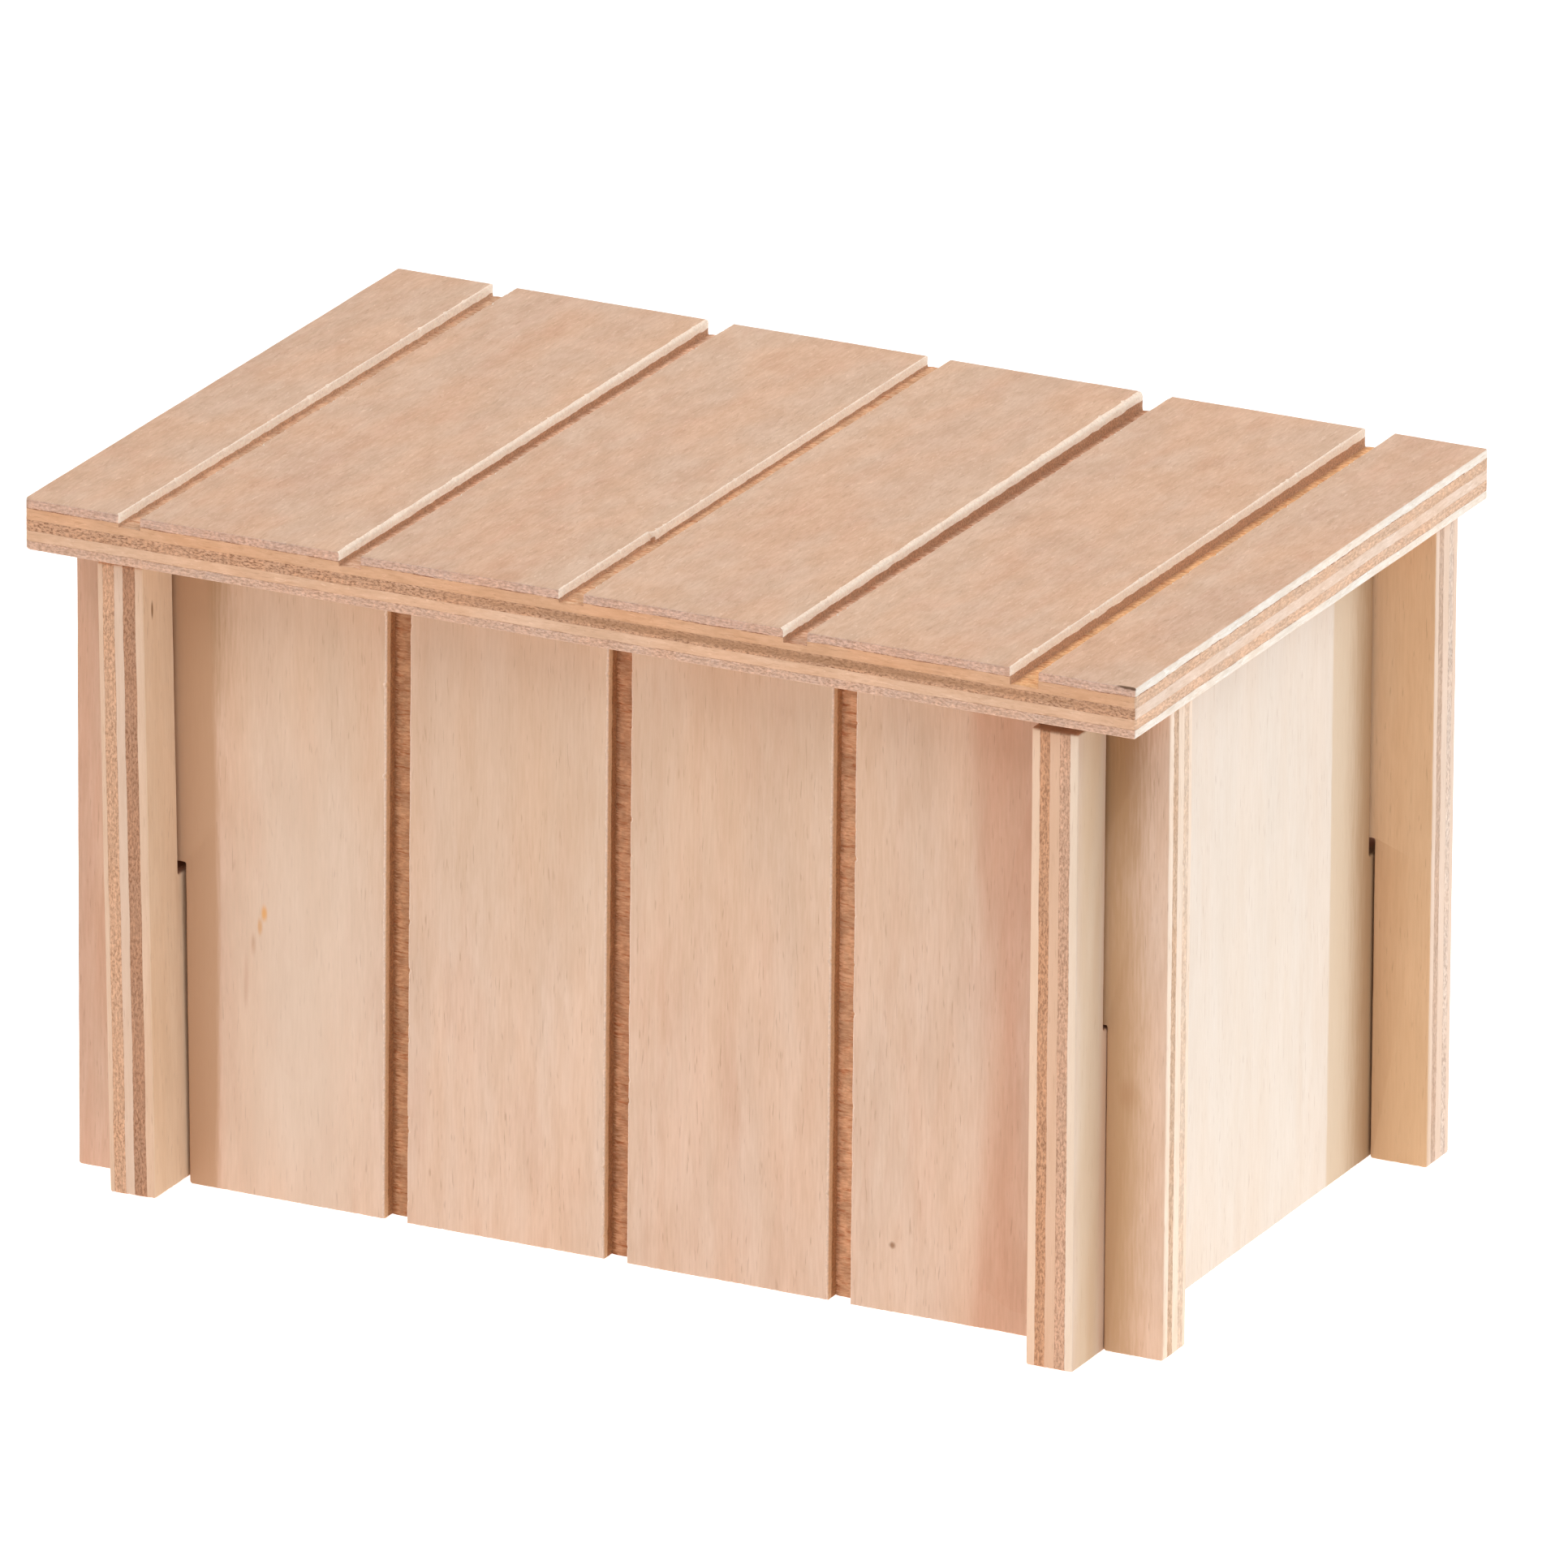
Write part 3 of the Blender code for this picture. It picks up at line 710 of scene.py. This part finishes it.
front_wall.data.materials.append(
    plywood(
        "rose_plywood",
        board_size.y,
        FRONT_PLIES,
        seed=3,
        faces=(ROSE, ROSE, ROSE, ROSE, WALL_BACK),
        edges=(PALE_EDGE, PINK_END, PALE_EDGE, (0.80, 0.60, 0.48), PALE_EDGE),
        ends=(PINK_END, (0.66, 0.46, 0.32), PINK_END, (0.78, 0.60, 0.46), PINK_END),
        pores=(0.2, 0.35, 0.2, 0.15, 0.2),
        figure=ROSE_FIGURE,
        # The figure laid at the left end, on the tab and beside the left wall, paints the shade there;
        # the pink band on the right is the veneer's own.
        stripes=(
            (-73, 1.0), (-62, 0.5), (-55, 0.35), (-50, 0.0), (-36, 0.0), (-26, 0.2),
            (-10, 0.1), (-3, 0.0), (8, 0.15), (30, 0.15), (38, 0.05), (47, 0.2),
            (51, 1.0), (60, 0.85), (72, 0.2),
        ),
        mottle=0.8,
        straight=2.5,
        pore_lines=0.28,
        marks=(
            # Painted shade: the shadow of the roof's overhang over the upper planks.
            ((-10, -3.1, 42), (80, 1.5, 60), 0.4, 0.3, (0.66, 0.44, 0.27)),
            ((-44, -3.1, -15), (15, 1.5, 45), 0.2, 0.5, (0.78, 0.61, 0.48)),
            # Painted shade in the corner beside the left wall, darkest under the roof, then down the
            # strip.
            ((-58, -3.1, 38), (7, 1.5, 28), 0.2, 0.9, (0.42, 0.24, 0.115)),
            ((-58.4, -3.1, -15), (4.6, 1.5, 80), 0.75, 0.9, (0.555, 0.33, 0.197)),
            # Painted shade on the right tab, which the roof and the right wall's outer tab keep out of
            # the light.
            ((66, -3.1, 38), (7.5, 1.5, 30), 0.2, 1.0, (0.36, 0.19, 0.088)),
            ((66, -3.1, -15), (7.5, 1.5, 80), 0.2, 0.85, (0.57, 0.345, 0.18)),
            ((68.8, -3.1, -8.0), (1.8, 1.5, 3.0), 0.1, 0.5, (0.50, 0.27, 0.14)),
            ((-48.2, -3.1, -4.6), (0.55, 1.0, 1.5), 0.2, 0.8, (0.80, 0.38, 0.11)),
            ((-48.8, -3.1, -6.4), (0.5, 1.0, 1.6), 0.2, 0.7, (0.70, 0.36, 0.15)),
            ((-49.7, -3.1, -8.8), (0.5, 1.0, 2.0), 0.2, 0.5, (0.58, 0.34, 0.22)),
            ((-50.7, -3.1, -13.8), (0.5, 1.0, 5.0), 0.2, 0.5, (0.62, 0.385, 0.27)),
            ((37.5, -3.1, -32.9), (0.6, 1.0, 0.6), 0.2, 0.85, (0.30, 0.15, 0.08)),
        ),
    )
)
WALL_GROOVES = [
    (-0.0302, -0.0298, GROOVE_DEPTH, GROOVE_DEPTH, 0.0031, 0.0032, 0.0003, 0.0003),
    (-0.0001, 0.0003, GROOVE_DEPTH, GROOVE_DEPTH, 0.0031, 0.0031, 0.0003, 0.0003),
    (0.0303, 0.0306, GROOVE_DEPTH, GROOVE_DEPTH, 0.0030, 0.0030, 0.0003, 0.0003),
]
wall_groove = routed_wood(
    "wall_groove_wood",
    board_size,
    FRONT_PLIES[0],
    WALL_GROOVES,
    seed=1,
    floors=((0.61, 0.325, 0.18), (0.62, 0.32, 0.18), (0.74, 0.41, 0.24)),
    # The rims are laid lighter than the sides: partly fresh wood, partly a painted highlight where the
    # rounded arrises catch the light.
    rim=(0.88, 0.66, 0.52),
    side=(0.80, 0.51, 0.30),
    lower_side=(0.68, 0.38, 0.19),
    scorch_and_shade=(0.42, 0.19, 0.085),
    scorched_and_shaded=(0.8, 0.9, 0.7),
    corner_width=0.9,
)
routed(front_wall, board_size, WALL_GROOVES, wall_groove, 0.0001, 1)
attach(front_wall, "long_walls")

# Rear wall
# The twin of the front wall, with an arched doorway sawn in the middle. Its middle groove ends at the
# arch.

rear_wall, board_size = sawn_board("rear_wall_board", "rear_wall", -FRONT_FACE, GRAIN_UP, FRONT_PLIES)
HONEY, HONEY_EDGE = (0.79, 0.525, 0.32), (0.79, 0.61, 0.485)
rear_wall.data.materials.append(
    plywood(
        "honey_plywood",
        board_size.y,
        FRONT_PLIES,
        seed=4,
        faces=(ROSE, ROSE, ROSE, ROSE, HONEY),
        edges=(HONEY_EDGE, PINK_END, HONEY_EDGE, (0.76, 0.55, 0.43), HONEY_EDGE),
        ends=(PINK_END, (0.77, 0.61, 0.50), PINK_END, (0.61, 0.43, 0.32), PINK_END),
        pores=(0.2, 0.35, 0.2, 0.15, 0.2),
        figure=(0.70, 0.45, 0.26),
        stripes=(
            (-70, 0.3), (-55, 0.6), (-42, 0.15), (-31, 0.4), (-20, 0.1), (-6, 0.5),
            (7, 0.15), (18, 0.45), (33, 0.1), (46, 0.5), (60, 0.2), (72, 0.5),
        ),
        mottle=0.5,
        straight=2.5,
        pore_lines=0.25,
        # A darker, yellower patch low on the tab beside the right wall.
        marks=(((-70, 3.1, -38), (8, 1.5, 26), 0.3, 0.35, (0.70, 0.45, 0.25)),),
    )
)
routed(rear_wall, board_size, WALL_GROOVES, wall_groove, 0.0001, 2)
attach(rear_wall, "long_walls")

# Roof plate
# A thicker five-ply board that lies loose on the long walls, its grain from front to rear. Five
# grooves divide it into planks. Its front left corner has been rounded more than the others.

ROOF_FACE, GRAIN_BACK = Vector((0, 0, 1)), Vector((0, 1, 0))
ROOF_PLIES = (0.175, 0.225, 0.217, 0.2, 0.183)
roof, board_size = sawn_board(
    "roof_board", "roof_plate", ROOF_FACE, GRAIN_BACK, ROOF_PLIES, {(-1, -1): 0.0011}
)
ROOF_ROSE, ORANGE, WHITE_EDGE = (0.745, 0.50, 0.35), (0.739, 0.412, 0.238), (0.885, 0.79, 0.69)
roof.data.materials.append(
    plywood(
        "roof_plywood",
        board_size.y,
        ROOF_PLIES,
        seed=5,
        faces=(ROOF_ROSE, ORANGE, ORANGE, ORANGE, WALL_BACK),
        edges=(WHITE_EDGE, ORANGE, (0.82, 0.625, 0.495), (0.79, 0.492, 0.322), WHITE_EDGE),
        ends=(
            (0.737, 0.462, 0.343), (0.75, 0.50, 0.345), (0.664, 0.371, 0.226),
            (0.78, 0.52, 0.36), (0.722, 0.457, 0.33),
        ),
        pores=(0.35, 0.2, 0.9, 0.25, 0.4),
        glue_lines=(1.0, 0.2, 0.2, 0.5),
        figure=(0.66, 0.385, 0.26),
        stripes=(
            (-75, 0.15), (-63, 0.1), (-56, 0.15), (-46, 0.3), (-38, 0.25), (-33.5, 0.0),
            (-27, 0.15), (-18, 0.3), (-8, 0.25), (-3.5, 0.0), (4, 0.1), (12, 0.3),
            (22, 0.3), (27, 0.0), (34, 0.1), (44, 0.3), (52, 0.25), (57, 0.1),
            (66, 0.3), (73, 0.35),
        ),
        mottle=1.1,
        flecks=0.14,
        marks=(
            ((28, -0.1, -49.6), (66, 0.8, 1.5), 0.3, 0.7, (0.42, 0.215, 0.11)),
            ((74.0, -3.2, -49.45), (1.9, 0.5, 0.22), 0.5, 0.9, (0.14, 0.07, 0.035)),
            ((-74.6, -2.6, -49.0), (0.8, 1.0, 0.9), 0.2, 0.5, (0.35, 0.18, 0.09)),
        ),
    )
)
NICK_STEP, NICK_HALF = 0.0005, 0.0004
NICK = -0.0252
ROOF_GROOVES = [
    (-0.0604, -0.06005, 0.00155, 0.0016, 0.0030, 0.0033, 0.00015, 0.0002),
    (-0.0303, -0.02995, 0.00165, 0.0019, 0.0030, 0.0035, 0.0004, 0.0002),
    (-0.0001, 0.0002, 0.0015, 0.0014, 0.00285, 0.00315, 0.00015, 0.00015),
    (0.02975, 0.03005, 0.0017, 0.0024, 0.0032, 0.0039, 0.0005, 0.0002),
    (0.06025, 0.06035, 0.0021, 0.0023, 0.0038, 0.0040, 0.0002, 0.0002),
]
roof_groove = routed_wood(
    "roof_groove_wood",
    board_size,
    ROOF_PLIES[0],
    ROOF_GROOVES,
    seed=2,
    floors=(
        (0.76, 0.485, 0.325), (0.84, 0.53, 0.37), (0.80, 0.49, 0.305),
        (0.79, 0.48, 0.33), (0.92, 0.54, 0.285),
    ),
    # The cut veneer on the sides and rims is laid paler than the veneer's own edge, painted light for
    # the lamp light that the narrow grooves keep out.
    rim=(1.0, 0.817, 0.67),
    side=(1.0, 0.868, 0.73),
    lower_side=(0.64, 0.40, 0.26),
    scorch_and_shade=(0.49, 0.26, 0.15),
    scorched_and_shaded=(0.15, 0.7, 0.55, 0.85, 0.6),
    corner_width=0.8,
    broken=(-0.0013, -board_size.y / 2 + 0.001, NICK),
)
routed(roof, board_size, ROOF_GROOVES, roof_groove, 0.00006, 3, nick=(2, NICK))
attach(roof, "roof")

# Roof battens
# Two strips of the wall plywood, glued under the roof so that it can't slide off the walls.

for side in ("left", "right"):
    batten, board_size = sawn_board(
        f"{side}_roof_batten_board", f"{side}_roof_batten", ROOF_FACE, GRAIN_BACK, RIGHT_PLIES
    )
    if side == "left":
        batten_wood = plywood(
            "batten_plywood",
            board_size.y,
            RIGHT_PLIES,
            seed=6,
            faces=(WALL_BACK,) * 5,
            edges=(TAN_EDGE, BROWN_END, PALE_CORE, BROWN_END, TAN_EDGE),
            ends=(PINK_END, BROWN_END, PINK_END, BROWN_END, PINK_END),
            pores=(0.2, 0.5, 0.2, 0.5, 0.2),
            figure=(0.66, 0.41, 0.26),
            stripes=((-6, 0.1), (-1, 0.6), (2, 0.2), (6, 0.5)),
            mottle=0.6,
            straight=2.5,
        )
    batten.data.materials.append(batten_wood)
    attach(batten, "roof")

# Table
# A wide white surface that the house stands on. It shows as white as the background and keeps the
# house's soft shadow.

TABLE_HALF = 6.0
TABLE_WHITE = 0.9
NEAR_GLOW, FAR_GLOW, SEEN_GLOW = 0.6, 0.1, 0.3
NEAR_HOUSE, FAR_FROM_HOUSE = 0.1, 0.4


def seen_by_camera(tree):
    """1 where the camera sees the surface itself, in a reflection or through glass, else 0."""
    rays = put(tree, "LightPath")
    seen = sum_of(tree, "MAXIMUM", rays.outputs["Is Camera Ray"], rays.outputs["Is Glossy Ray"])
    return sum_of(tree, "MAXIMUM", seen, rays.outputs["Is Transmission Ray"])


table_mesh = bpy.data.meshes.new("table")
corners = [(x * TABLE_HALF, y * TABLE_HALF, 0) for x, y in ((-1, -1), (1, -1), (1, 1), (-1, 1))]
table_mesh.from_pydata(corners, [], [(0, 1, 2, 3)])
table = bpy.data.objects.new("table", table_mesh)
bpy.context.scene.collection.objects.link(table)
white = bpy.data.materials.new("white_table")
white.use_nodes = True
tree = white.node_tree
surface = tree.nodes["Principled BSDF"]
surface.inputs["Base Color"].default_value = (TABLE_WHITE, TABLE_WHITE, TABLE_WHITE, 1)
surface.inputs["Roughness"].default_value = 1.0
surface.inputs["Specular IOR Level"].default_value = 0.0
where = put(tree, "TexCoord")
away = put(tree, "VectorMath", {0: where.outputs["Object"]}, operation="LENGTH").outputs["Value"]
# Painted light: near the house the table glows brighter than far off, a pool of light that lights the
# walls from below.
glow = between(tree, away, NEAR_HOUSE, FAR_FROM_HOUSE, NEAR_GLOW, FAR_GLOW)
glow = sum_of(tree, "MULTIPLY_ADD", seen_by_camera(tree), SEEN_GLOW, glow)
tree.links.new(glow, surface.inputs["Emission Strength"])
surface.inputs["Emission Color"].default_value = (1, 1, 1, 1)
table_mesh.materials.append(white)

# Light
# Even daylight from all round, a broad soft lamp from the right, a high one in front of the house and
# two weaker ones.

world = bpy.data.worlds.new("daylight")
bpy.context.scene.world = world
world.use_nodes = True
tree = world.node_tree
DAYLIGHT, BACKDROP = 0.5, 1.0
levels = {0: seen_by_camera(tree), 2: DAYLIGHT, 3: BACKDROP}
brightness = put(tree, "Mix", levels, data_type="FLOAT").outputs[0]
sky = tree.nodes["Background"]
sky.inputs["Color"].default_value = (1, 1, 1, 1)
tree.links.new(brightness, sky.inputs["Strength"])


def soft_lamp(name, power, width, place, aim=(0, 0, 0.04)):
    lamp = bpy.data.lights.new(name, "AREA")
    lamp.energy, lamp.size, lamp.shape = power, width, "SQUARE"
    stand = bpy.data.objects.new(name, lamp)
    stand.location = place
    stand.rotation_euler = (Vector(aim) - Vector(place)).to_track_quat("-Z", "Y").to_euler()
    bpy.context.scene.collection.objects.link(stand)


soft_lamp("right_lamp", 9.5, 1.0, (1.1, 0.6, 1.0))
soft_lamp("front_left_lamp", 1.2, 0.9, (-0.9, -1.2, 0.8))
soft_lamp("high_front_lamp", 5.6, 0.8, (-0.2, -1.1, 1.35))
soft_lamp("top_lamp", 2, 1.0, (-0.1, 0.5, 1.3))

bpy.context.scene.view_settings.view_transform = "Standard"

# Camera
# A long lens from the front right and a little above, with the whole house in a square picture.

PHOTO_SIDE = 1932
FOCAL_PIXELS = 31526.8
AZIMUTH, ELEVATION, ROLL = math.radians(26.393), math.radians(19.713), math.radians(0.365)
DISTANCE, ASIDE, RAISED = 3.1476, 0.003198, 0.046551
back = Vector(
    (
        math.sin(AZIMUTH) * math.cos(ELEVATION),
        -math.cos(AZIMUTH) * math.cos(ELEVATION),
        math.sin(ELEVATION),
    )
)
level = Vector((math.cos(AZIMUTH), math.sin(AZIMUTH), 0))
upright = back.cross(level)
right = math.cos(ROLL) * level + math.sin(ROLL) * upright
up = math.cos(ROLL) * upright - math.sin(ROLL) * level
lens = bpy.data.cameras.new("camera")
lens.sensor_width = 36
lens.lens = lens.sensor_width * FOCAL_PIXELS / PHOTO_SIDE
lens.clip_start, lens.clip_end = 0.1, 50
camera = bpy.data.objects.new("camera", lens)
stance = Matrix((right, up, back)).transposed().to_4x4()
camera.matrix_world = Matrix.Translation(back * DISTANCE + right * ASIDE + up * RAISED) @ stance
bpy.context.scene.collection.objects.link(camera)
bpy.context.scene.camera = camera
